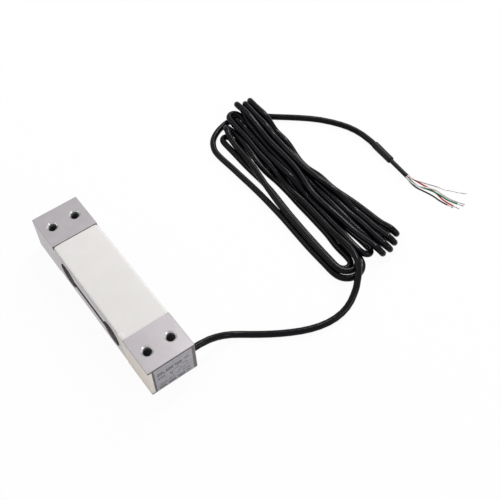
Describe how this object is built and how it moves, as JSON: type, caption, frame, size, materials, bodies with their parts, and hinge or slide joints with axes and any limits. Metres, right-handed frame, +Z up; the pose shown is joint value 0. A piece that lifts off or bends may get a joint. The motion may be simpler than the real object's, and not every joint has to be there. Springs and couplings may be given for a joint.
{
  "type": "single point load cell",
  "caption": "Aluminium beam load cell with a double-hole spring section, silicone-covered strain gauges, tapped mounting holes and a coiled four-core cable.",
  "frame": {"origin": "middle of the beam's length and width, on its underside", "axes": "+X along the beam towards the cable end, +Y across the beam to the side the cable leaves, +Z up"},
  "size_m": [0.1996, 0.2764, 0.0285],
  "materials": {
    "beam_aluminium": "fine milled, clear anodised",
    "white_silicone": "smooth, satin",
    "cream_silicone": "smooth, satin",
    "gauge_film": "satin polyimide",
    "circuit_board": "satin solder mask",
    "tinned_copper": "bright",
    "lead_insulation": "satin",
    "resistor_body": "satin",
    "cable_jacket": "smooth, semi-gloss",
    "seal_rubber": "matt",
    "entry_sealant": "satin",
    "label_foil": "satin metallised film with dark print",
    "heat_shrink": "satin",
    "red_insulation": "semi-gloss",
    "green_insulation": "semi-gloss",
    "white_insulation": "semi-gloss",
    "black_insulation": "semi-gloss"
  },
  "bodies": {
    "root": {"load_cell_beam": "beam_aluminium", "top_potting": "white_silicone", "bottom_potting": "white_silicone", "side_potting": "cream_silicone", "strain_gauge_top_far": "gauge_film", "strain_gauge_top_near": "gauge_film", "strain_gauge_bottom_far": "gauge_film", "strain_gauge_bottom_near": "gauge_film", "link_board_top": "circuit_board", "link_board_bottom": "circuit_board", "gauge_jumpers_top": "tinned_copper", "gauge_jumpers_bottom": "tinned_copper", "bridge_lead_top": "lead_insulation", "bridge_lead_bottom": "lead_insulation", "bridge_board": "circuit_board", "span_resistor": "resistor_body", "zero_resistor": "resistor_body", "inner_core_red": "red_insulation", "inner_core_green": "green_insulation", "inner_core_white": "white_insulation", "inner_core_black": "black_insulation", "cable_inner_end": "cable_jacket", "cable_seal_ring": "seal_rubber", "bore_sealant": "entry_sealant", "rating_label": "label_foil", "cable_lead": "cable_jacket", "cable_hank": "cable_jacket", "cable_tail": "cable_jacket", "cable_sleeve_large": "heat_shrink", "cable_sleeve_thin": "heat_shrink", "core_red": "red_insulation", "core_green": "green_insulation", "core_white": "white_insulation", "core_black": "black_insulation", "core_tip_red": "tinned_copper", "core_tip_green": "tinned_copper", "core_tip_white": "tinned_copper", "core_tip_black": "tinned_copper", "shield_drain_wire": "tinned_copper"}
  },
  "joints": []
}
